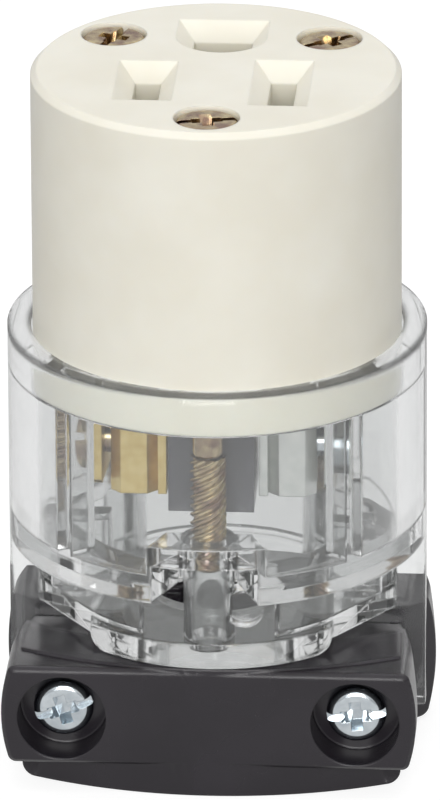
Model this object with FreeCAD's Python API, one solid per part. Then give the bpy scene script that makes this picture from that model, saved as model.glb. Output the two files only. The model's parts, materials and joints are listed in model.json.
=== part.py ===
import FreeCAD
import Part
import math
import os

from FreeCAD import Placement, Rotation, Vector

# A three-wire cord connector that takes a type B plug. Millimetres, +Z up. It stands on its cord clamp, with
# the socket face on top; -Y is the front, where the clamp screws are driven, -X is line and +X is neutral.

# Heights of the stack, from the cord clamp up
clamp_height = 13.05
lower_section_height = 8.2
cup_height = 20.95
face_insertion = 4.35
face_length = 29.9

# Face body
face_radius = 17.4
face_edge = 0.55
face_wall = 6.0

# Openings for the plug, on the standard spacing of a type B plug
blade_spacing = 12.7
ground_offset = 11.9
blade_line_y = -3.75
slot_width = 2.45
line_slot_length = 7.1
neutral_slot_length = 8.7
ground_hole_half_width = 2.75
funnel_depth = 1.75
funnel_inset = 1.55

# Contacts
contact_thickness = 0.8
blade_grip = 1.4
leaf_width = 6.0
leaf_height = 17.0
lip_height = 2.0
lip_flare = 0.7
contact_base_height = 2.2
ground_grip_radius = 2.35
sleeve_slit = 0.9
cavity_clearance = 0.5

# Terminals: block, wire gap, clamp plate and screw, outwards from the axis
terminal_inner = 5.05
terminal_thickness = 4.4
terminal_width = 6.6
terminal_drop = 10.1
terminal_edge = 1.0
plate_edge = 0.45
wire_gap = 0.7
clamp_plate_thickness = 1.2
clamp_plate_height = 7.2
terminal_screw_drop = 5.65
terminal_head_radius = 2.9
terminal_head_height = 1.7
terminal_shank_radius = 1.55
terminal_shank_length = 5.2

# Contact retainer and its hanging barrier
retainer_thickness = 3.0
retainer_half_width = 12.0
retainer_front_y = -9.6
retainer_side_y = 1.8
retainer_rear_y = 12.4
retainer_rear_half_width = 3.3
barrier_half_width = 3.9
barrier_wall = 1.4
barrier_front_y = -9.4
barrier_length = 8.2
barrier_drop = 10.8

# Assembly screws
screw_circle_inset = 4.35
rear_screw_angle = 38.8
assembly_head_radius = 3.0
assembly_head_height = 2.5
assembly_head_sink = 0.25
assembly_shank_radius = 1.65
assembly_screw_engagement = 3.8

# Rear housing
rim_wall = 2.2
ledge_width = 0.6
shoulder_thickness = 2.0
lower_radius = 14.7
lower_wall = 1.6
lobe_inset = 2.9
flange_radius = 15.9
flange_half_width = 11.4
flange_corner = 1.4
flank_step = 0.8
floor_thickness = 2.5
cord_hole_radius = 6.5
boss_height = 13.1
boss_radius = 2.4
boss_floor = 1.5
pocket_mouth_half_width = 5.75
pocket_back_half_width = 2.65
pocket_back_offset = 0.6
pocket_wall = 1.2
window_half_width = 6.2
gate_radius = 1.85
gate_offset = 3.4
gate_drop = 0.7
rib_width = 1.7
rib_angle = 48.0
rib_reach = 2.3
tongue_half_thickness = 1.6
tongue_screw_margin = 2.5
tongue_end_height = 3.8
tongue_root_height = 7.1
tongue_root_step = 1.0

# Cord clamp halves
clamp_arc_radius = 40.0
front_reach = 15.5
rear_reach = 10.6
front_flare_depth = 12.5
rear_flare_depth = 4.6
arch_inset = 1.6
parting_inset = 2.1
front_pad_inset = 0.2
rear_pad_overhang = 0.7
rear_pad_taper = 1.6
pad_end_bulge = 0.8
front_pad_bottom = 2.95
rear_pad_bottom = 0.4
pad_top_step = 0.25
pad_edge = 0.4
land_width = 5.2
pocket_depth = 0.9
cord_radius = 5.0
grip_rib_height = 0.8
grip_rib_width = 4.0
core_wall = 2.2
core_width = 3.0
pad_corner = 0.8
arch_corner = 1.2

# Clamp screws
clamp_screw_inset = 5.75
clamp_screw_height = 7.65
clamp_head_radius = 2.85
clamp_head_height = 1.9
clamp_head_sink = 2.0
clamp_shank_radius = 1.7
clamp_screw_end = 8.6
counterbore_radius = 4.2

# Fits
tip_room = 0.5
slip = 0.1
thread_clearance = 0.05
screw_clearance = 0.3
face_clearance = 0.2
overrun = 1.0

# Levels and radii that follow from the sizes above
floor_bottom = clamp_height
floor_top = floor_bottom + floor_thickness
shoulder = floor_bottom + lower_section_height
shoulder_top = shoulder + shoulder_thickness
rim = shoulder + cup_height
ledge = rim - face_insertion
face_top = ledge + face_length
retainer_top = ledge + retainer_thickness
cavity_top = face_top - face_wall
boss_top = floor_bottom + boss_height
screw_circle_radius = face_radius - screw_circle_inset
seat_radius = face_radius + face_clearance
cup_radius = seat_radius + rim_wall
flange_reach = screw_circle_radius + boss_radius
flank_bottom = floor_bottom + flank_step
chamber_radius = seat_radius - ledge_width
ground_y = blade_line_y + ground_offset
parting = tongue_half_thickness + slip
front_pad_half_width = cup_radius - front_pad_inset
rear_pad_half_width = cup_radius + rear_pad_overhang
clamp_half_width = front_pad_half_width - arch_inset
parting_half_width = front_pad_half_width - parting_inset
clamp_screw_x = front_pad_half_width - clamp_screw_inset
tongue_inner = clamp_screw_x - tongue_screw_margin
lobe_reach = cup_radius - lobe_inset
terminal_outer = terminal_inner + terminal_thickness
plate_inner = terminal_outer + wire_gap
plate_outer = plate_inner + clamp_plate_thickness
terminal_axis = ledge - terminal_screw_drop
ground_sleeve_radius = ground_grip_radius + contact_thickness
contact_base = retainer_top + contact_base_height


def block(x0, x1, y0, y1, z0, z1):
    return Part.makeBox(x1 - x0, y1 - y0, z1 - z0, Vector(x0, y0, z0))


def cylinder(radius, z0, z1, x=0.0, y=0.0):
    return Part.makeCylinder(radius, z1 - z0, Vector(x, y, z0))


def prism(wire, z0, z1):
    """Extrude a flat wire, drawn at z = 0, between two heights."""
    solid = Part.Face(wire).extrude(Vector(0, 0, z1 - z0))
    solid.translate(Vector(0, 0, z0))
    return solid


def polygon(points):
    corners = [Vector(x, y, 0) for x, y in points]
    return Part.makePolygon(corners + corners[:1])


def turned(points):
    """Revolve a closed outline of (radius, height) points about the Z axis."""
    corners = [Vector(radius, 0, height) for radius, height in points]
    face = Part.Face(Part.makePolygon(corners + corners[:1]))
    return face.revolve(Vector(0, 0, 0), Vector(0, 0, 1), 360)


def turned_about_z(shape, degrees):
    turned_copy = shape.copy()
    turned_copy.rotate(Vector(0, 0, 0), Vector(0, 0, 1), degrees)
    return turned_copy


def moved(shape, x, y, z):
    moved_copy = shape.copy()
    moved_copy.translate(Vector(x, y, z))
    return moved_copy


def screw(head_radius, head_height, shank_radius, shank_length):
    """A plain screw along -Z, with the seat of its head at z = 0."""
    return turned(
        [
            (0, head_height),
            (head_radius, head_height),
            (head_radius, 0),
            (shank_radius, 0),
            (shank_radius, -shank_length),
            (0, -shank_length),
        ]
    )


def screw_places():
    """Centres of the assembly screws: one in front, one each side towards the back."""
    angles = {"front": -90.0, "left": 180.0 - rear_screw_angle, "right": rear_screw_angle}
    places = {}
    for name, angle in angles.items():
        turn = math.radians(angle)
        places[name] = (screw_circle_radius * math.cos(turn), screw_circle_radius * math.sin(turn))
    return places


def lead_in(half_x, half_y, x, y, front_inset):
    """Four-sided funnel that widens upwards to the face, by its own inset on the -Y side."""
    funnel = Part.makeWedge(
        -half_x,
        0,
        -half_y,
        -half_y - funnel_inset,
        -half_x - funnel_inset,
        half_x,
        funnel_depth,
        half_y,
        half_y + front_inset,
        half_x + funnel_inset,
    )
    funnel.rotate(Vector(0, 0, 0), Vector(1, 0, 0), 90)
    return moved(funnel, x, y, face_top - funnel_depth)


def blade_opening(x, length):
    half_x = slot_width / 2
    half_y = length / 2
    slot = block(
        x - half_x, x + half_x, blade_line_y - half_y, blade_line_y + half_y, cavity_top - overrun, face_top
    )
    return [slot, lead_in(half_x, half_y, x, blade_line_y, funnel_inset)]


def ground_opening():
    """U-shaped opening, flat on the +Y side and round on the -Y side, with its lead-in."""
    half = ground_hole_half_width
    funnel_bottom = Vector(0, ground_y, face_top - funnel_depth)
    return [
        cylinder(half, cavity_top - overrun, face_top, 0, ground_y),
        block(-half, half, ground_y, ground_y + half, cavity_top - overrun, face_top),
        Part.makeCone(half, half + funnel_inset, funnel_depth, funnel_bottom),
        lead_in(half, half / 2, 0, ground_y + half / 2, 0),
    ]


def contact_cavity(x, length):
    half_x = blade_grip / 2 + contact_thickness + lip_flare + cavity_clearance
    half_y = max(length, leaf_width) / 2 + cavity_clearance
    low_y = blade_line_y - half_y
    high_y = blade_line_y + half_y
    return block(x - half_x, x + half_x, low_y, high_y, retainer_top - overrun, cavity_top)


def face_body():
    body = cylinder(face_radius, ledge, face_top)
    top_edge = [edge for edge in body.Edges if edge.BoundBox.ZMin > face_top - slip]
    body = body.makeChamfer(face_edge, top_edge)
    cuts = [prism(retainer_plan(slip), ledge, retainer_top)]
    for x, length in ((-blade_spacing / 2, line_slot_length), (blade_spacing / 2, neutral_slot_length)):
        cuts += blade_opening(x, length)
        cuts.append(contact_cavity(x, length))
    cuts += ground_opening()
    sleeve_room = ground_sleeve_radius + cavity_clearance
    cuts.append(cylinder(sleeve_room, retainer_top - overrun, cavity_top, 0, ground_y))
    base_half_width = terminal_width / 2 + cavity_clearance
    base_front = terminal_inner - contact_thickness - cavity_clearance
    cuts.append(
        block(
            -base_half_width,
            base_half_width,
            base_front,
            ground_y,
            retainer_top - overrun,
            contact_base + cavity_clearance,
        )
    )
    head_seat = face_top - assembly_head_sink - assembly_head_height
    for x, y in screw_places().values():
        cuts.append(cylinder(assembly_shank_radius + screw_clearance, ledge, face_top, x, y))
        cuts.append(cylinder(assembly_head_radius + slip, head_seat, face_top, x, y))
    return body.cut(cuts).removeSplitter()


def retainer_plan(clearance):
    """Outline of the contact retainer: wide across the blades, narrowed between the rear screws."""
    width = retainer_half_width + clearance
    rear_width = retainer_rear_half_width + clearance
    front = retainer_front_y - clearance
    side = retainer_side_y + clearance
    rear = retainer_rear_y + clearance
    return polygon(
        [
            (-width, front),
            (width, front),
            (width, side),
            (rear_width, rear),
            (-rear_width, rear),
            (-width, side),
        ]
    )


def contact_retainer():
    plate = prism(retainer_plan(0), ledge, retainer_top)
    barrier_bottom = ledge - barrier_drop
    barrier_back_y = barrier_front_y + barrier_length
    barrier = block(
        -barrier_half_width, barrier_half_width, barrier_front_y, barrier_back_y, barrier_bottom, ledge
    )
    hollow = block(
        barrier_wall - barrier_half_width,
        barrier_half_width - barrier_wall,
        barrier_front_y + barrier_wall,
        barrier_back_y + overrun,
        barrier_bottom,
        ledge,
    )
    plate = plate.fuse(barrier.cut(hollow))
    stem = block(
        terminal_inner - contact_thickness - slip,
        terminal_inner + slip,
        -terminal_width / 2 - slip,
        terminal_width / 2 + slip,
        ledge - slip,
        retainer_top + slip,
    )
    return plate.cut([placed_terminal(stem, name) for name in ("line", "neutral", "ground")]).removeSplitter()


def placed_terminal(shape, name):
    """Move a piece drawn along +X at y = 0 to the line (-X), neutral (+X) or ground (+Y) terminal."""
    if name == "ground":
        return turned_about_z(shape, 90)
    turn = 180 if name == "line" else 0
    return moved(turned_about_z(shape, turn), 0, blade_line_y, 0)


def contact_stem():
    """Tab that passes through the retainer and lies on the inner face of the terminal block."""
    return block(
        terminal_inner - contact_thickness,
        terminal_inner,
        -terminal_width / 2,
        terminal_width / 2,
        ledge - terminal_drop,
        contact_base,
    )


def blade_contact():
    """Two sprung leaves with flared lips over one base, drawn along +X at y = 0."""
    centre = blade_spacing / 2
    inner = blade_grip / 2
    outer = inner + contact_thickness
    half_width = leaf_width / 2
    base = block(
        terminal_inner - contact_thickness,
        centre + outer,
        -half_width,
        half_width,
        contact_base - contact_thickness,
        contact_base,
    )
    lip_bottom = contact_base + leaf_height - lip_height
    leaf_outline = [
        (inner, contact_base - contact_thickness),
        (outer, contact_base - contact_thickness),
        (outer, lip_bottom),
        (outer + lip_flare, lip_bottom + lip_height),
        (inner + lip_flare, lip_bottom + lip_height),
        (inner, lip_bottom),
    ]
    pieces = [contact_stem()]
    for side in (-1, 1):
        corners = [Vector(centre + side * x, -half_width, z) for x, z in leaf_outline]
        leaf = Part.Face(Part.makePolygon(corners + corners[:1])).extrude(Vector(0, leaf_width, 0))
        pieces.append(leaf)
    return base.fuse(pieces).removeSplitter()


def ground_contact():
    """Slit sleeve for the earth pin over a base strip, drawn in place."""
    top = contact_base + leaf_height
    sleeve = cylinder(ground_sleeve_radius, contact_base - contact_thickness, top, 0, ground_y)
    sleeve = sleeve.cut(
        [
            cylinder(ground_grip_radius, contact_base, top, 0, ground_y),
            block(
                -sleeve_slit / 2,
                sleeve_slit / 2,
                ground_y,
                ground_y + ground_sleeve_radius + overrun,
                contact_base,
                top,
            ),
        ]
    )
    base = block(
        -terminal_width / 2,
        terminal_width / 2,
        terminal_inner - contact_thickness,
        ground_y,
        contact_base - contact_thickness,
        contact_base,
    )
    return sleeve.fuse([base.cut(cylinder(ground_grip_radius, contact_base, top, 0, ground_y)),
                        turned_about_z(contact_stem(), 90)]).removeSplitter()


def terminal_screw_hole(radius):
    return Part.makeCylinder(radius, plate_outer, Vector(0, 0, terminal_axis), Vector(1, 0, 0))


def terminal_block():
    half_width = terminal_width / 2
    body = block(terminal_inner, terminal_outer, -half_width, half_width, ledge - terminal_drop, ledge)
    corners = [edge for edge in body.Edges if edge.BoundBox.ZLength > terminal_drop / 2]
    body = body.makeChamfer(terminal_edge, corners)
    return body.cut(terminal_screw_hole(terminal_shank_radius + thread_clearance))


def clamp_plate():
    half_width = terminal_width / 2
    half_height = clamp_plate_height / 2
    bottom = terminal_axis - half_height
    top = terminal_axis + half_height
    body = block(plate_inner, plate_outer, -half_width, half_width, bottom, top)
    corners = [edge for edge in body.Edges if edge.BoundBox.XLength > clamp_plate_thickness / 2]
    body = body.makeChamfer(plate_edge, corners)
    return body.cut(terminal_screw_hole(terminal_shank_radius + slip))


def terminal_screw():
    body = screw(terminal_head_radius, terminal_head_height, terminal_shank_radius, terminal_shank_length)
    outwards = Rotation(Vector(0, 0, 1), Vector(1, 0, 0))
    body.Placement = Placement(Vector(plate_outer, 0, terminal_axis), outwards)
    return body


def assembly_screw():
    seat = face_top - assembly_head_sink - assembly_head_height
    tip = boss_top - assembly_screw_engagement
    body = screw(assembly_head_radius, assembly_head_height, assembly_shank_radius, seat - tip)
    return moved(body, 0, 0, seat)


def lower_outline(inset):
    """Plan of the lower section: a circle drawn out by tangent flanks into a blunt lobe at each side."""
    lobe = math.hypot(lobe_reach, tongue_half_thickness)
    tangent = math.atan2(tongue_half_thickness, lobe_reach) + math.acos(lower_radius / lobe)
    radius = lower_radius - inset
    reach = lobe_reach - inset / math.cos(tangent)
    x = radius * math.cos(tangent)
    y = radius * math.sin(tangent)
    front = Part.Arc(Vector(-x, -y, 0), Vector(0, -radius, 0), Vector(x, -y, 0)).toShape()
    back = Part.Arc(Vector(x, y, 0), Vector(0, radius, 0), Vector(-x, y, 0)).toShape()
    right = Part.makePolygon(
        [
            Vector(x, -y, 0),
            Vector(reach, -tongue_half_thickness, 0),
            Vector(reach, tongue_half_thickness, 0),
            Vector(x, y, 0),
        ]
    )
    left = Part.makePolygon(
        [
            Vector(-x, y, 0),
            Vector(-reach, tongue_half_thickness, 0),
            Vector(-reach, -tongue_half_thickness, 0),
            Vector(-x, -y, 0),
        ]
    )
    return Part.Wire([front] + right.Edges + [back] + left.Edges)


def tongue():
    """Side tongue on +X that hangs from the housing between the clamp halves and takes the clamp screw."""
    strip = block(
        tongue_inner, cup_radius, -tongue_half_thickness, tongue_half_thickness, tongue_end_height, shoulder
    )
    return strip.common(cylinder(cup_radius, tongue_end_height, shoulder))


def tongue_root():
    """Block inside the lower section, over the tongue on +X."""
    return block(
        tongue_inner - tongue_root_step,
        lobe_reach,
        -tongue_half_thickness,
        tongue_half_thickness,
        floor_top,
        floor_top + tongue_root_height,
    )


def floor_flange():
    """Front edge of the floor, round in plan and with rounded lower corners."""
    plan = cylinder(flange_radius, floor_bottom, floor_top, 0, flange_radius - flange_reach)
    front = block(-flange_half_width, flange_half_width, -flange_reach - overrun, 0, floor_bottom, floor_top)
    lower_corners = [
        edge
        for edge in front.Edges
        if edge.BoundBox.YLength > lower_radius / 2 and edge.BoundBox.ZMax < floor_bottom + slip
    ]
    return plan.common(front.makeFillet(flange_corner, lower_corners))


def lower_section():
    flanges = [floor_flange(), turned_about_z(floor_flange(), 180)]
    return prism(lower_outline(0), flank_bottom, shoulder).fuse(flanges)


def pocket_plan(wall):
    """Plan of the pocket that opens the cup before the front boss: it narrows towards the boss."""
    back = -screw_circle_radius - pocket_back_offset
    mouth = -cup_radius - overrun
    back_half_width = pocket_back_half_width + wall
    mouth_half_width = pocket_mouth_half_width + wall
    return polygon(
        [
            (-mouth_half_width, mouth),
            (mouth_half_width, mouth),
            (back_half_width, back + wall),
            (-back_half_width, back + wall),
        ]
    )


def pocket_shell():
    shell = prism(pocket_plan(pocket_wall), shoulder, boss_top)
    return shell.common(cylinder(cup_radius, shoulder, boss_top))


def pocket():
    """Pocket under the boss roof, and the window below it in the wall of the lower section."""
    window = block(
        -window_half_width,
        window_half_width,
        -cup_radius,
        -screw_circle_radius + boss_radius,
        floor_top,
        shoulder,
    )
    return prism(pocket_plan(0), shoulder, boss_top - pocket_wall).fuse(window)


def gate_tab():
    """Round stub where the moulding was fed, beside the front post."""
    height = shoulder - gate_drop - gate_radius
    start = Vector(gate_offset, -screw_circle_radius - boss_radius / 2, height)
    return Part.makeCylinder(gate_radius, boss_radius, start, Vector(0, 1, 0))


def rear_housing():
    cup = cylinder(cup_radius, shoulder, rim)
    tongues = [tongue(), turned_about_z(tongue(), 180)]
    body = cup.fuse([lower_section()] + tongues)
    hollows = [
        cylinder(seat_radius, ledge, rim),
        cylinder(chamber_radius, shoulder_top, ledge),
        prism(lower_outline(lower_wall), floor_top, shoulder_top),
    ]
    body = body.cut(hollows)
    rib_root = -chamber_radius - ledge_width
    rib = block(-rib_width / 2, rib_width / 2, rib_root, rib_reach - chamber_radius, shoulder_top, ledge)
    ribs = [turned_about_z(rib, side * rib_angle) for side in (-1, 1)]
    roots = [tongue_root(), turned_about_z(tongue_root(), 180)]
    body = body.fuse(ribs + roots + [pocket_shell()]).cut(pocket())
    posts = [cylinder(boss_radius, floor_bottom, boss_top, x, y) for x, y in screw_places().values()]
    body = body.fuse(posts + [gate_tab()])
    cuts = [cylinder(cord_hole_radius, floor_bottom, floor_top)]
    for x, y in screw_places().values():
        bore_radius = assembly_shank_radius + thread_clearance
        cuts.append(cylinder(bore_radius, floor_bottom + boss_floor, boss_top, x, y))
    for side in (-1, 1):
        hole_radius = clamp_shank_radius + screw_clearance
        cuts.append(across(hole_radius, side * clamp_screw_x, -cup_radius, cup_radius))
    return body.cut(cuts)


def across(radius, x, y0, y1):
    """Cylinder along Y at the height of the clamp screws."""
    return Part.makeCylinder(radius, y1 - y0, Vector(x, y0, clamp_screw_height), Vector(0, 1, 0))


def barrel_outline(pad_half_width, pad_bottom, pad_top):
    """Front view of the clamp's pad: flat top and bottom, ends bowed outwards."""
    corner = pad_half_width - pad_end_bulge
    middle = (pad_bottom + pad_top) / 2
    right = Part.Arc(
        Vector(corner, 0, pad_bottom), Vector(pad_half_width, 0, middle), Vector(corner, 0, pad_top)
    ).toShape()
    left = Part.Arc(
        Vector(-corner, 0, pad_top), Vector(-pad_half_width, 0, middle), Vector(-corner, 0, pad_bottom)
    ).toShape()
    return Part.Wire(
        [
            Part.makeLine(Vector(-corner, 0, pad_bottom), Vector(corner, 0, pad_bottom)),
            right,
            Part.makeLine(Vector(corner, 0, pad_top), Vector(-corner, 0, pad_top)),
            left,
        ]
    )


def clamp_half(reach, flare_depth, pad_half_width, pad_bottom, taper, head_room):
    """One clamp half, drawn on the -Y side: an arched body, a flat pad across it and a cord saddle."""
    arc_centre = clamp_arc_radius - reach
    arch = turned(
        [
            (0, 0),
            (clamp_arc_radius, 0),
            (clamp_arc_radius, clamp_height),
            (clamp_arc_radius - land_width, clamp_height),
            (clamp_arc_radius - land_width - pocket_depth, clamp_height - pocket_depth),
            (0, clamp_height - pocket_depth),
        ]
    )
    arch = moved(arch, 0, arc_centre, 0)
    arch_plan = polygon(
        [
            (-clamp_half_width, -reach - overrun),
            (clamp_half_width, -reach - overrun),
            (clamp_half_width, -flare_depth),
            (parting_half_width, -parting),
            (-parting_half_width, -parting),
            (-clamp_half_width, -flare_depth),
        ]
    )
    arch = arch.common(prism(arch_plan, 0, clamp_height))
    lower_ends = [
        edge
        for edge in arch.Edges
        if edge.BoundBox.ZMax < slip and edge.BoundBox.XLength < arch_inset
    ]
    arch = arch.makeFillet(arch_corner, lower_ends)
    pad_top = clamp_height - pad_top_step
    pad_plan = polygon(
        [
            (taper - pad_half_width, -reach),
            (pad_half_width - taper, -reach),
            (pad_half_width, -flare_depth),
            (parting_half_width, -parting),
            (-parting_half_width, -parting),
            (-pad_half_width, -flare_depth),
        ]
    )
    barrel = Part.Face(barrel_outline(pad_half_width, pad_bottom, pad_top)).extrude(Vector(0, -2 * reach, 0))
    barrel_ends = [edge for edge in barrel.Edges if edge.BoundBox.YLength > reach]
    barrel = barrel.makeFillet(pad_corner, barrel_ends)
    pad = prism(pad_plan, pad_bottom, pad_top).common(barrel)
    recess_radius = clamp_arc_radius - land_width - pocket_depth
    recess_floor = clamp_height - pocket_depth
    recess = cylinder(recess_radius, recess_floor, clamp_height, 0, arc_centre)
    front_edges = [edge for edge in pad.Edges if edge.BoundBox.YMax < -reach + slip]
    pad = pad.makeChamfer(pad_edge, front_edges)
    half = arch.fuse(pad.cut(recess))
    half = half.cut(cylinder(cord_radius + grip_rib_height, 0, clamp_height))
    middle = clamp_height / 2
    rib_bottom = middle - grip_rib_width / 2
    rib_top = middle + grip_rib_width / 2
    rib = cylinder(cord_radius + 2 * grip_rib_height, rib_bottom, rib_top)
    rib = rib.cut(cylinder(cord_radius, rib_bottom, rib_top))
    half = half.fuse(rib.common(block(-reach, reach, -reach, -parting, 0, clamp_height)))
    core_x = cord_radius + grip_rib_height + core_wall
    front_wall = arc_centre - math.sqrt(clamp_arc_radius ** 2 - (core_x + core_width) ** 2)
    core_y = max(front_wall, head_room - reach) + core_wall
    cores = []
    for side in (-1, 1):
        near = side * core_x
        far = side * (core_x + core_width)
        cores.append(block(min(near, far), max(near, far), core_y, 0, core_wall, recess_floor - core_wall))
    return half.cut(cores)


def cord_clamp_front():
    head_room = clamp_head_sink + clamp_head_height
    half = clamp_half(
        front_reach, front_flare_depth, front_pad_half_width, front_pad_bottom, 0, head_room
    )
    seat = head_room - front_reach
    cuts = []
    for side in (-1, 1):
        x = side * clamp_screw_x
        cuts.append(across(clamp_shank_radius + screw_clearance, x, -front_reach, 0))
        cuts.append(across(counterbore_radius, x, -front_reach, seat))
    return half.cut(cuts).removeSplitter()


def cord_clamp_rear():
    half = clamp_half(
        rear_reach, rear_flare_depth, rear_pad_half_width, rear_pad_bottom, rear_pad_taper, 0
    )
    half = turned_about_z(half, 180)
    cuts = [
        across(clamp_shank_radius + thread_clearance, side * clamp_screw_x, 0, clamp_screw_end + tip_room)
        for side in (-1, 1)
    ]
    return half.cut(cuts).removeSplitter()


def clamp_screw(x):
    seat = clamp_head_sink + clamp_head_height - front_reach
    body = screw(clamp_head_radius, clamp_head_height, clamp_shank_radius, clamp_screw_end - seat)
    forwards = Rotation(Vector(0, 0, 1), Vector(0, -1, 0))
    body.Placement = Placement(Vector(x, seat, clamp_screw_height), forwards)
    return body


def build():
    parts = {
        "face_body": face_body(),
        "contact_retainer": contact_retainer(),
        "rear_housing": rear_housing(),
        "cord_clamp_front": cord_clamp_front(),
        "cord_clamp_rear": cord_clamp_rear(),
        "line_contact": placed_terminal(blade_contact(), "line"),
        "neutral_contact": placed_terminal(blade_contact(), "neutral"),
        "ground_contact": ground_contact(),
        "clamp_screw_left": clamp_screw(-clamp_screw_x),
        "clamp_screw_right": clamp_screw(clamp_screw_x),
    }
    for name in ("line", "neutral", "ground"):
        parts[name + "_terminal"] = placed_terminal(terminal_block(), name)
        parts[name + "_clamp_plate"] = placed_terminal(clamp_plate(), name)
        parts[name + "_terminal_screw"] = placed_terminal(terminal_screw(), name)
    for name, (x, y) in screw_places().items():
        parts["assembly_screw_" + name] = moved(assembly_screw(), x, y, 0)
    return parts


def main():
    os.makedirs("parts", exist_ok=True)
    for name, shape in build().items():
        solids = shape.Solids
        if len(solids) != 1 or not shape.isValid():
            raise ValueError(name + " is not one valid solid")
        solids[0].exportStep("parts/" + name + ".step")


main()
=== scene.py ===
import json
import math

import bpy
from mathutils import Matrix, Vector

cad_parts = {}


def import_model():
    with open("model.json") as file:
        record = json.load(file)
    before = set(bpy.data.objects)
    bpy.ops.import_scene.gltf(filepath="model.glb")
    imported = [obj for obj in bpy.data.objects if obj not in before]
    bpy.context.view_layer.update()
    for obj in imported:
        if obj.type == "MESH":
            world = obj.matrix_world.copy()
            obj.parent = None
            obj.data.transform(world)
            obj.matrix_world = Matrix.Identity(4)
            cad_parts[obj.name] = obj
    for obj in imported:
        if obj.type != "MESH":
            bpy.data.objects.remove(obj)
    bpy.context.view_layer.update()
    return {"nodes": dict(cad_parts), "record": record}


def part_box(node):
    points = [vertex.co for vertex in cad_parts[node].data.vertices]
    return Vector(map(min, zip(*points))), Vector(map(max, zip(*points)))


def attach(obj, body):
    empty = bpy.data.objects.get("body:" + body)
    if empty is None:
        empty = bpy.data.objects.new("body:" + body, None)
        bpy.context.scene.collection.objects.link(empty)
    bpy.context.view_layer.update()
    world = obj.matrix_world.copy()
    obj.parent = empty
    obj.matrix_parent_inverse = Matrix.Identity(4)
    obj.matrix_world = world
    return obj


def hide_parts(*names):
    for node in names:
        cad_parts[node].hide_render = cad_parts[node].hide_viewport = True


# A cord connector for type B plugs. The CAD pieces get their materials here. The screws are modelled again,
# because their threads and driver recesses are too fine for the CAD, and the black clamp halves are copies
# with a hair of air over them. Lengths are millimetres, unless the name ends in _m, and angles are degrees.

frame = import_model()

MM = 0.001

# Camera, read from the photograph
photo_scale_px_per_mm = 10.577
photo_height_px = 800
camera_distance = 1198.0
camera_azimuth = 3.9
camera_elevation = 22.5
camera_roll = -0.28
aim_height = 34.05
aim_right = 0.226
sensor_height = 24.0
clip_end_m = 20.0

# Long screws through the face
assembly_head_radius = 3.0
assembly_head_height = 2.5
assembly_head_rounding = 0.6
assembly_shank_radius = 1.4
assembly_core_radius = 1.34
assembly_crest_radius = 1.64
assembly_thread_length = 11.9
assembly_crest_spacing = 0.86
assembly_thread_starts = 6

# Screws of the cord clamp
clamp_head_radius = 2.85
clamp_head_height = 1.9
clamp_head_rounding = 1.0
clamp_core_radius = 1.3
clamp_crest_radius = 1.68
clamp_crest_spacing = 1.0
clamp_thread_starts = 1

# Wire screws of the terminals
terminal_head_radius = 2.9
terminal_head_height = 1.7
terminal_head_rounding = 0.7
terminal_shank_radius = 1.55

# Driver recesses; the cross narrows to these shares of its length and width at its lower end
slot_width = 0.75
slot_depth = 0.85
cross_reach = 2.0
cross_width = 1.25
cross_depth = 1.5
cross_length_taper = 0.45
cross_width_taper = 0.8

# Thread profile, as shares of the crest spacing, and the plain tip under it
flank_up = 0.22
crest_start = 0.46
crest_end = 0.62
flank_down = 0.86
tip_length = 0.5
tip_chamfer_share = 0.4
overlap = 0.05

# Fineness of the screws' meshes
head_sides = 64
head_rounding_steps = 10
shank_sides = 40
tip_chamfer_steps = 3
thread_steps = 28
round_profile = 0.5
screw_smooth_angle = 32

# Clamp halves: air over them, and how far from a screw's axis the faces of its counterbore reach
clamp_air_gap = 0.05
counterbore_reach = 4.3

# Clear moulding: edge roundings, and how far under the rim the larger one fades out
clear_edge = 0.4
clear_rim_edge = 1.1
rim_fade_low = 1.5
rim_fade_high = 1.2

# Tolerances for merging points and for picking points at a height or faces along an axis
merge_distance = 0.001
height_slack = 0.01
normal_slack = 0.01

# Materials; unevenness is how far the roughness strays to either side
plastic_ior = 1.53
polycarbonate_ior = 1.58
nylon_scatter_m = (0.0012, 0.0010, 0.0007)
bump_depth = 0.05
plastic_unevenness = 0.05
metal_unevenness = 0.08
bevel_samples = 6
tone_edges = (0.35, 0.65)

# Stage
floor_size_m = 6.0
floor_gap = 0.05

# Directions that screw heads point in
up = (0, 0, 1)
forwards = (0, -1, 0)
back = (0, 1, 0)
left = (-1, 0, 0)
right = (1, 0, 0)


def deselect_all():
    if bpy.context.object and bpy.context.object.mode != "OBJECT":
        bpy.ops.object.mode_set(mode="OBJECT")
    bpy.ops.object.select_all(action="DESELECT")


def make_active(obj):
    deselect_all()
    obj.select_set(True)
    bpy.context.view_layer.objects.active = obj


def pick(obj, kind, chosen):
    """Go to edit mode with just those vertices, edges or faces selected that a rule chooses."""
    make_active(obj)
    bpy.ops.object.mode_set(mode="EDIT")
    bpy.ops.mesh.select_mode(type=kind)
    bpy.ops.mesh.select_all(action="DESELECT")
    bpy.ops.object.mode_set(mode="OBJECT")
    mesh = obj.data
    for element in {"VERT": mesh.vertices, "EDGE": mesh.edges, "FACE": mesh.polygons}[kind]:
        element.select = chosen(element)
    bpy.ops.object.mode_set(mode="EDIT")


def apply_modifier(obj, kind, **settings):
    make_active(obj)
    modifier = obj.modifiers.new(kind.title(), kind)
    for name, value in settings.items():
        setattr(modifier, name, value)
    bpy.ops.object.modifier_apply(modifier=modifier.name)


def cut_away(obj, cutter):
    """Cut a shape out of an object and remove the cutter."""
    apply_modifier(obj, "BOOLEAN", operation="DIFFERENCE", object=cutter, solver="EXACT")
    bpy.data.objects.remove(cutter)


def join(target, others):
    deselect_all()
    for obj in others:
        obj.select_set(True)
    target.select_set(True)
    bpy.context.view_layer.objects.active = target
    bpy.ops.object.join()
    return target


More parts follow.
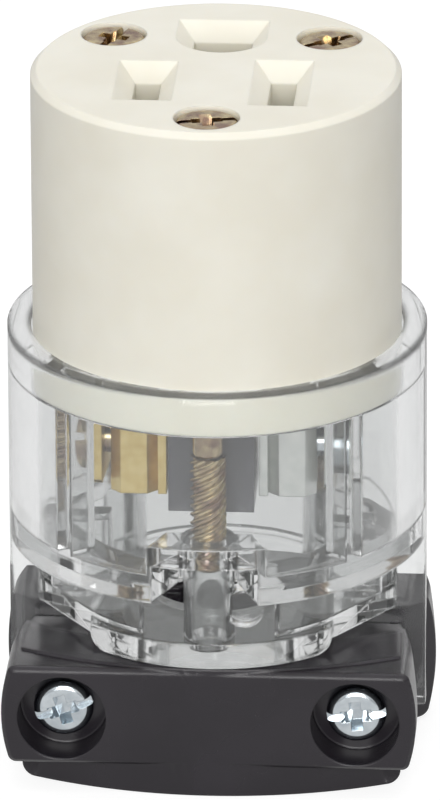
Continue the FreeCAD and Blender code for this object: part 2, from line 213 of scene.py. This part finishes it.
def cylinder(radius, bottom, top, sides):
    """Cylinder on the Z axis between two heights."""
    deselect_all()
    middle = (top + bottom) / 2
    bpy.ops.mesh.primitive_cylinder_add(
        vertices=sides, radius=radius * MM, depth=(top - bottom) * MM, location=(0, 0, middle * MM)
    )
    bpy.ops.object.transform_apply(location=True)
    return bpy.context.object


def domed_head(radius, height, rounding):
    """Round head standing on z = 0: a disc whose top rim is rounded over to a dome."""
    head = cylinder(radius, 0, height, head_sides)
    rim = (height - height_slack) * MM
    pick(head, "EDGE", lambda edge: all(head.data.vertices[i].co.z > rim for i in edge.vertices))
    bpy.ops.mesh.bevel(offset=rounding * MM, segments=head_rounding_steps, profile=round_profile)
    bpy.ops.object.mode_set(mode="OBJECT")
    return head


def turned_tip(radius, top, bottom):
    """Plain stretch of shank with a chamfered end."""
    shank = cylinder(radius, bottom, top, shank_sides)
    end = (bottom + height_slack) * MM
    pick(shank, "EDGE", lambda edge: all(shank.data.vertices[i].co.z < end for i in edge.vertices))
    chamfer = tip_chamfer_share * radius
    bpy.ops.mesh.bevel(offset=chamfer * MM, segments=tip_chamfer_steps, profile=round_profile)
    bpy.ops.object.mode_set(mode="OBJECT")
    return shank


def slot_cutter(radius, height):
    """Block for a straight slot, longer than the head is wide."""
    deselect_all()
    bpy.ops.mesh.primitive_cube_add(size=1, location=(0, 0, height * MM))
    cutter = bpy.context.object
    cutter.scale = (3 * radius * MM, slot_width * MM, 2 * slot_depth * MM)
    bpy.ops.object.transform_apply(location=True, scale=True)
    return cutter


def cross_cutter(height, turn):
    """Tapered block for one arm of a cross recess, narrower at its lower end."""
    deselect_all()
    bpy.ops.mesh.primitive_cube_add(size=1)
    cutter = bpy.context.object
    cutter.scale = (2 * cross_reach * MM, cross_width * MM, 2 * cross_depth * MM)
    bpy.ops.object.transform_apply(scale=True)
    pick(cutter, "VERT", lambda vertex: vertex.co.z < 0)
    bpy.ops.transform.resize(
        value=(cross_length_taper, cross_width_taper, 1), center_override=(0, 0, -cross_depth * MM)
    )
    bpy.ops.object.mode_set(mode="OBJECT")
    cutter.location = (0, 0, height * MM)
    cutter.rotation_euler = (0, 0, math.radians(turn))
    bpy.ops.object.transform_apply(location=True, rotation=True)
    return cutter


def combination_recess(head, radius, height):
    """Straight slot right across the head and a cross recess in its middle."""
    cut_away(head, slot_cutter(radius, height))
    for turn in (0, 90):
        cut_away(head, cross_cutter(height, turn))


def outline_by_extrusion(points):
    """Edge chain in the XZ plane, drawn point by point from one vertex."""
    deselect_all()
    x, z = points[0]
    bpy.ops.mesh.primitive_plane_add(size=MM, location=(x * MM, 0, z * MM))
    chain = bpy.context.object
    bpy.ops.object.transform_apply(location=True)
    bpy.ops.object.mode_set(mode="EDIT")
    bpy.ops.mesh.select_mode(type="VERT")
    bpy.ops.mesh.select_all(action="SELECT")
    bpy.ops.mesh.merge(type="CENTER")
    for next_x, next_z in points[1:]:
        step = ((next_x - x) * MM, 0, (next_z - z) * MM)
        bpy.ops.mesh.extrude_region_move(TRANSFORM_OT_translate={"value": step})
        x, z = next_x, next_z
    bpy.ops.object.mode_set(mode="OBJECT")
    return chain


def trim(obj, height, keep_above):
    """Cut an object level at a height, close the cut and drop one side."""
    make_active(obj)
    bpy.ops.object.mode_set(mode="EDIT")
    bpy.ops.mesh.select_all(action="SELECT")
    bpy.ops.mesh.bisect(
        plane_co=(0, 0, height * MM),
        plane_no=(0, 0, 1),
        use_fill=True,
        clear_inner=keep_above,
        clear_outer=not keep_above,
    )
    bpy.ops.object.mode_set(mode="OBJECT")


def thread(core, crest, spacing, starts, top, bottom):
    """Threaded stretch of a screw, from the height top down to the height bottom."""
    lead = spacing * starts
    turns = math.ceil((top - bottom) / lead) + 2
    points = []
    for start in range(starts):
        low = bottom - lead + start * spacing
        points += [
            (core, low),
            (core, low + flank_up * spacing),
            (crest, low + crest_start * spacing),
            (crest, low + crest_end * spacing),
            (core, low + flank_down * spacing),
        ]
    points.append((core, bottom))
    stretch = outline_by_extrusion(points)
    apply_modifier(
        stretch,
        "SCREW",
        axis="Z",
        angle=2 * math.pi,
        screw_offset=lead * MM,
        iterations=turns,
        steps=thread_steps,
        render_steps=thread_steps,
        use_merge_vertices=True,
        merge_threshold=merge_distance * MM,
        use_smooth_shade=True,
        use_normal_calculate=True,
    )
    trim(stretch, bottom, keep_above=True)
    trim(stretch, top, keep_above=False)
    return stretch


def finish_piece(piece, node, slot):
    piece.data.materials.clear()
    piece.data.materials.append(materials[slot])
    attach(piece, "root")
    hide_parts(node)


def node_length(node, outwards):
    """Length of a CAD screw in millimetres along the direction that its head points in."""
    low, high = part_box(node)
    return abs((high - low).dot(Vector(outwards))) / MM


def finish_screw(screw, node, outwards, head_height, turn, slot):
    """Put a screw drawn along Z, with its seat at z = 0, in the place of a CAD screw."""
    low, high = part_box(node)
    aim = Vector(outwards)
    seat = (low + high) / 2 + aim * (node_length(node, outwards) / 2 - head_height) * MM
    make_active(screw)
    turned = aim.to_track_quat("Z", "Y").to_matrix().to_4x4()
    screw.matrix_world = Matrix.Translation(seat) @ turned @ Matrix.Rotation(math.radians(turn), 4, "Z")
    bpy.ops.object.transform_apply(location=True, rotation=True, scale=False)
    screw.name = node + "_turned"
    bpy.ops.object.shade_smooth_by_angle(angle=math.radians(screw_smooth_angle))
    finish_piece(screw, node, slot)


def assembly_screw(node, turn):
    """Long screw through the face: plain shank, then a steep thread that cuts into the boss."""
    tip = assembly_head_height - node_length(node, up)
    thread_top = tip + assembly_thread_length
    head = domed_head(assembly_head_radius, assembly_head_height, assembly_head_rounding)
    combination_recess(head, assembly_head_radius, assembly_head_height)
    pieces = [
        turned_tip(assembly_shank_radius, overlap, thread_top),
        thread(
            assembly_core_radius,
            assembly_crest_radius,
            assembly_crest_spacing,
            assembly_thread_starts,
            thread_top,
            tip + tip_length,
        ),
        turned_tip(assembly_core_radius, tip + tip_length + overlap, tip),
    ]
    finish_screw(join(head, pieces), node, up, assembly_head_height, turn, "screw_brass")


def clamp_screw(node, turn):
    """Screw that draws the clamp halves together, driven from the front."""
    tip = clamp_head_height - node_length(node, forwards)
    head = domed_head(clamp_head_radius, clamp_head_height, clamp_head_rounding)
    combination_recess(head, clamp_head_radius, clamp_head_height)
    pieces = [
        thread(
            clamp_core_radius,
            clamp_crest_radius,
            clamp_crest_spacing,
            clamp_thread_starts,
            overlap,
            tip + tip_length,
        ),
        turned_tip(clamp_core_radius, tip + tip_length + overlap, tip),
    ]
    finish_screw(join(head, pieces), node, forwards, clamp_head_height, turn, "zinc_steel")


def terminal_screw(node, outwards, turn, slot):
    """Slotted wire screw of a terminal."""
    tip = terminal_head_height - node_length(node, outwards)
    head = domed_head(terminal_head_radius, terminal_head_height, terminal_head_rounding)
    cut_away(head, slot_cutter(terminal_head_radius, terminal_head_height))
    shank = turned_tip(terminal_shank_radius, overlap, tip)
    finish_screw(join(head, [shank]), node, outwards, terminal_head_height, turn, slot)


def clamp_half(node):
    """Black clamp half whose top is eased down, so that the clear floor above it lies on a hair of air."""
    half = bpy.data.objects.new(node + "_moulded", frame["nodes"][node].data.copy())
    bpy.context.scene.collection.objects.link(half)
    make_active(half)
    bpy.ops.object.mode_set(mode="EDIT")
    bpy.ops.mesh.select_all(action="SELECT")
    bpy.ops.mesh.remove_doubles(threshold=merge_distance * MM)
    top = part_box(node)[1].z - height_slack * MM
    pick(half, "VERT", lambda vertex: vertex.co.z > top)
    bpy.ops.transform.translate(value=(0, 0, -clamp_air_gap * MM))
    bpy.ops.object.mode_set(mode="OBJECT")
    bpy.ops.object.shade_flat()

    # Only the counterbores' walls are shaded smooth: smoothing over the flat pads leaves streaks on them
    low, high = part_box("clamp_screw_right")
    screw_x, _, screw_z = (low + high) / 2

    def in_counterbore_wall(face):
        reach = math.hypot(abs(face.center.x) - screw_x, face.center.z - screw_z)
        return abs(face.normal.y) < normal_slack and reach < counterbore_reach * MM

    pick(half, "FACE", in_counterbore_wall)
    bpy.ops.mesh.faces_shade_smooth()
    bpy.ops.object.mode_set(mode="OBJECT")
    finish_piece(half, node, "black_nylon")


def colour(code):
    """Linear colour from an sRGB hex code."""
    channels = [int(code[i : i + 2], 16) / 255 for i in (1, 3, 5)]
    linear = [c / 12.92 if c <= 0.04045 else ((c + 0.055) / 1.055) ** 2.4 for c in channels]
    return (*linear, 1.0)


def add_node(tree, kind, settings=None, **inputs):
    """Add a node, set its properties, and set or link its inputs."""
    node = tree.nodes.new(kind)
    for name, value in (settings or {}).items():
        setattr(node, name, value)
    for name, value in inputs.items():
        socket = node.inputs[name.replace("_", " ")]
        if isinstance(value, bpy.types.NodeSocket):
            tree.links.new(value, socket)
        else:
            socket.default_value = value
    return node


def new_material(name):
    material = bpy.data.materials.new(name)
    material.use_nodes = True
    material.node_tree.nodes.clear()
    return material, material.node_tree


def finish_material(tree, shader):
    output = tree.nodes.new("ShaderNodeOutputMaterial")
    tree.links.new(shader, output.inputs["Surface"])


def noise(tree, size_mm, detail=3.0):
    """Noise on Object coordinates whose blobs are about size_mm across."""
    coordinates = add_node(tree, "ShaderNodeTexCoord")
    return add_node(
        tree,
        "ShaderNodeTexNoise",
        Vector=coordinates.outputs["Object"],
        Scale=1.0 / (size_mm * MM),
        Detail=detail,
    ).outputs["Fac"]


def spread(tree, factor, low, high):
    return add_node(tree, "ShaderNodeMapRange", Value=factor, To_Min=low, To_Max=high).outputs["Result"]


def two_tone(tree, factor, first, second):
    ramp = add_node(tree, "ShaderNodeValToRGB", Fac=factor)
    for element, code, position in zip(ramp.color_ramp.elements, (first, second), tone_edges):
        element.color = colour(code)
        element.position = position
    return ramp.outputs["Color"]


def soft_edge(tree, radius_m, height, strength):
    """Normal with rounded edges and a fine bump on top."""
    rounded = add_node(tree, "ShaderNodeBevel", {"samples": bevel_samples}, Radius=radius_m)
    return add_node(
        tree,
        "ShaderNodeBump",
        Height=height,
        Strength=strength,
        Distance=bump_depth * MM,
        Normal=rounded.outputs["Normal"],
    ).outputs["Normal"]


def moulded_plastic(name, first, second, roughness, edge_mm, grain_mm, grain, subsurface=0.0):
    """Injection-moulded plastic: slightly uneven colour, spark-eroded grain, soft mould edges."""
    material, tree = new_material(name)
    tone = two_tone(tree, noise(tree, size_mm=9.0), first, second)
    grain_height = noise(tree, grain_mm, detail=2.0)
    shader = add_node(
        tree,
        "ShaderNodeBsdfPrincipled",
        Base_Color=tone,
        Roughness=spread(
            tree, noise(tree, size_mm=1.6), roughness - plastic_unevenness, roughness + plastic_unevenness
        ),
        IOR=plastic_ior,
        Subsurface_Weight=subsurface,
        Subsurface_Radius=nylon_scatter_m,
        Subsurface_Scale=1.0,
        Normal=soft_edge(tree, edge_mm * MM, grain_height, grain),
    )
    finish_material(tree, shader.outputs["BSDF"])
    return material


def clear_edge_radius(tree):
    """Rounding of the clear moulding's edges in metres: small, but the cup's rim is rounded over whole."""
    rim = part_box("rear_housing")[1].z
    place = add_node(tree, "ShaderNodeTexCoord").outputs["Object"]
    return add_node(
        tree,
        "ShaderNodeMapRange",
        Value=add_node(tree, "ShaderNodeSeparateXYZ", Vector=place).outputs["Z"],
        From_Min=rim - rim_fade_low * MM,
        From_Max=rim - rim_fade_high * MM,
        To_Min=clear_edge * MM,
        To_Max=clear_rim_edge * MM,
    ).outputs["Result"]


def clear_plastic(name):
    """Clear polycarbonate, injection moulded: faint haze, flow ripple and tint; lamps shine through it."""
    material, tree = new_material(name)
    ripple = noise(tree, size_mm=5.0, detail=1.0)
    shader = add_node(
        tree,
        "ShaderNodeBsdfPrincipled",
        Base_Color=colour("#E2E3E3"),
        Roughness=spread(tree, noise(tree, size_mm=3.0), low=0.0, high=0.03),
        IOR=polycarbonate_ior,
        Transmission_Weight=0.97,
        Normal=soft_edge(tree, clear_edge_radius(tree), ripple, strength=0.1),
    )
    see_through = add_node(tree, "ShaderNodeBsdfTransparent", Color=colour("#ECEEEC"))
    path = add_node(tree, "ShaderNodeLightPath")
    mix = add_node(tree, "ShaderNodeMixShader", Fac=path.outputs["Is Shadow Ray"])
    tree.links.new(shader.outputs["BSDF"], mix.inputs[1])
    tree.links.new(see_through.outputs["BSDF"], mix.inputs[2])
    finish_material(tree, mix.outputs["Shader"])
    return material


def plated_metal(name, first, second, roughness, edge_mm, mark_mm):
    """Metal with a plated or passivated skin: blotchy tone and fine tool marks."""
    material, tree = new_material(name)
    marks = noise(tree, mark_mm, detail=4.0)
    shader = add_node(
        tree,
        "ShaderNodeBsdfPrincipled",
        Base_Color=two_tone(tree, noise(tree, size_mm=1.4), first, second),
        Metallic=1.0,
        Roughness=spread(
            tree, noise(tree, size_mm=0.6), roughness - metal_unevenness, roughness + metal_unevenness
        ),
        Normal=soft_edge(tree, edge_mm * MM, marks, strength=0.04),
    )
    finish_material(tree, shader.outputs["BSDF"])
    return material


def make_materials():
    return {
        "cream_nylon": moulded_plastic(
            "cream moulded nylon",
            "#EBE8DC",
            "#E6E2D4",
            roughness=0.42,
            edge_mm=0.3,
            grain_mm=0.25,
            grain=0.06,
            subsurface=0.15,
        ),
        "clear_polycarbonate": clear_plastic("clear moulded polycarbonate"),
        "black_nylon": moulded_plastic(
            "black moulded nylon",
            "#1E1A20",
            "#252127",
            roughness=0.2,
            edge_mm=0.35,
            grain_mm=0.3,
            grain=0.04,
        ),
        "dark_moulding": moulded_plastic(
            "dark grey moulded phenolic",
            "#47464C",
            "#504F55",
            roughness=0.25,
            edge_mm=0.2,
            grain_mm=0.3,
            grain=0.04,
        ),
        "terminal_brass": plated_metal(
            "bright stamped brass", "#E6D092", "#D6BC78", roughness=0.36, edge_mm=0.15, mark_mm=0.3
        ),
        "screw_brass": plated_metal(
            "yellow passivated screw steel", "#D0C09A", "#93796A", roughness=0.2, edge_mm=0.08, mark_mm=0.2
        ),
        "nickel_plate": plated_metal(
            "nickel plated brass", "#DFE0DD", "#D3D5D3", roughness=0.4, edge_mm=0.15, mark_mm=0.3
        ),
        "zinc_steel": plated_metal(
            "bright zinc plated steel", "#DDE4E8", "#C6CED4", roughness=0.16, edge_mm=0.08, mark_mm=0.2
        ),
        "green_screw": plated_metal(
            "green passivated screw steel", "#3E7A4C", "#346A42", roughness=0.35, edge_mm=0.08, mark_mm=0.2
        ),
    }


def dress_cad_nodes():
    slots = {part["node"]: part["material_slot"] for part in frame["record"]["subparts"]}
    for node, obj in frame["nodes"].items():
        obj.data.materials.clear()
        obj.data.materials.append(materials[slots[node]])


def larger(tree, first, second):
    maximum = add_node(tree, "ShaderNodeMath", {"operation": "MAXIMUM"})
    tree.links.new(first, maximum.inputs[0])
    tree.links.new(second, maximum.inputs[1])
    return maximum.outputs["Value"]


def studio_strength(tree, light, mirrored, seen):
    """Brightness of the studio: as light, in reflections, and where it is seen, also through clear pieces."""
    path = add_node(tree, "ShaderNodeLightPath")
    reflected = spread(tree, path.outputs["Is Glossy Ray"], light, mirrored)
    looked_at = larger(tree, path.outputs["Is Camera Ray"], path.outputs["Is Transmission Ray"])
    return larger(tree, reflected, spread(tree, looked_at, 0.0, seen))


def floor():
    """White sweep under the part: it glows softly where it is seen and still takes the shadow."""
    deselect_all()
    bpy.ops.mesh.primitive_grid_add(
        x_subdivisions=2, y_subdivisions=2, size=floor_size_m, location=(0, 0, -floor_gap * MM)
    )
    plane = bpy.context.object
    plane.name = "floor"
    material, tree = new_material("white paper sweep")
    paper = add_node(tree, "ShaderNodeBsdfDiffuse", Color=colour("#909090"))
    strength = studio_strength(tree, light=0.0, mirrored=0.45, seen=0.82)
    glow = add_node(tree, "ShaderNodeEmission", Color=colour("#FFFFFF"), Strength=strength)
    both = add_node(tree, "ShaderNodeAddShader")
    tree.links.new(paper.outputs["BSDF"], both.inputs[0])
    tree.links.new(glow.outputs["Emission"], both.inputs[1])
    finish_material(tree, both.outputs["Shader"])
    plane.data.materials.append(material)


def mirrored_sky(tree):
    """What shiny pieces mirror: a bright ceiling above dim walls."""
    direction = add_node(tree, "ShaderNodeTexCoord").outputs["Generated"]
    height = add_node(tree, "ShaderNodeSeparateXYZ", Vector=direction).outputs["Z"]
    return add_node(
        tree,
        "ShaderNodeMapRange",
        {"interpolation_type": "SMOOTHSTEP"},
        Value=height,
        From_Min=0.05,
        From_Max=0.75,
        To_Min=0.48,
        To_Max=1.0,
    ).outputs["Result"]


def world():
    scene_world = bpy.data.worlds.new("white studio")
    bpy.context.scene.world = scene_world
    scene_world.use_nodes = True
    tree = scene_world.node_tree
    tree.nodes.clear()
    strength = studio_strength(tree, light=0.69, mirrored=mirrored_sky(tree), seen=1.0)
    background = add_node(tree, "ShaderNodeBackground", Color=colour("#FFFFFF"), Strength=strength)
    output = tree.nodes.new("ShaderNodeOutputWorld")
    tree.links.new(background.outputs["Background"], output.inputs["Surface"])


def lamp(name, place_mm, aim_mm, size_mm, watts):
    data = bpy.data.lights.new(name, "AREA")
    data.shape = "RECTANGLE"
    data.size, data.size_y = (value * MM for value in size_mm)
    data.energy = watts
    obj = bpy.data.objects.new(name, data)
    bpy.context.scene.collection.objects.link(obj)
    obj.location = Vector(place_mm) * MM
    obj.rotation_euler = (Vector(aim_mm) - Vector(place_mm)).to_track_quat("-Z", "Y").to_euler()


def lights():
    lamp("front softbox", place_mm=(-15, -760, 300), aim_mm=(0, 0, 35), size_mm=(380, 420), watts=3.4)
    lamp("top softbox", place_mm=(40, 60, 700), aim_mm=(0, 0, 40), size_mm=(460, 460), watts=1.0)


def camera():
    data = bpy.data.cameras.new("camera")
    obj = bpy.data.objects.new("camera", data)
    bpy.context.scene.collection.objects.link(obj)
    bpy.context.scene.camera = obj
    azimuth = math.radians(camera_azimuth)
    elevation = math.radians(camera_elevation)
    away = Vector(
        (
            math.sin(azimuth) * math.cos(elevation),
            -math.cos(azimuth) * math.cos(elevation),
            math.sin(elevation),
        )
    )
    sideways = Vector((math.cos(azimuth), math.sin(azimuth), 0))
    aim = Vector((0, 0, aim_height)) + sideways * aim_right
    obj.location = (aim + away * camera_distance) * MM
    turn = (-away).to_track_quat("-Z", "Y").to_matrix().to_4x4()
    obj.rotation_euler = (turn @ Matrix.Rotation(math.radians(camera_roll), 4, "Z")).to_euler()
    data.sensor_fit = "VERTICAL"
    data.sensor_height = sensor_height
    frame_height = photo_height_px / photo_scale_px_per_mm
    data.lens = sensor_height * camera_distance / frame_height
    data.clip_end = clip_end_m


bpy.context.scene.view_settings.view_transform = "Standard"
materials = make_materials()
dress_cad_nodes()
clamp_half("cord_clamp_front")
clamp_half("cord_clamp_rear")
assembly_screw("assembly_screw_front", turn=12)
assembly_screw("assembly_screw_left", turn=70)
assembly_screw("assembly_screw_right", turn=35)
clamp_screw("clamp_screw_left", turn=18)
clamp_screw("clamp_screw_right", turn=6)
terminal_screw("line_terminal_screw", left, turn=25, slot="screw_brass")
terminal_screw("neutral_terminal_screw", right, turn=60, slot="zinc_steel")
terminal_screw("ground_terminal_screw", back, turn=110, slot="green_screw")
floor()
world()
lights()
camera()
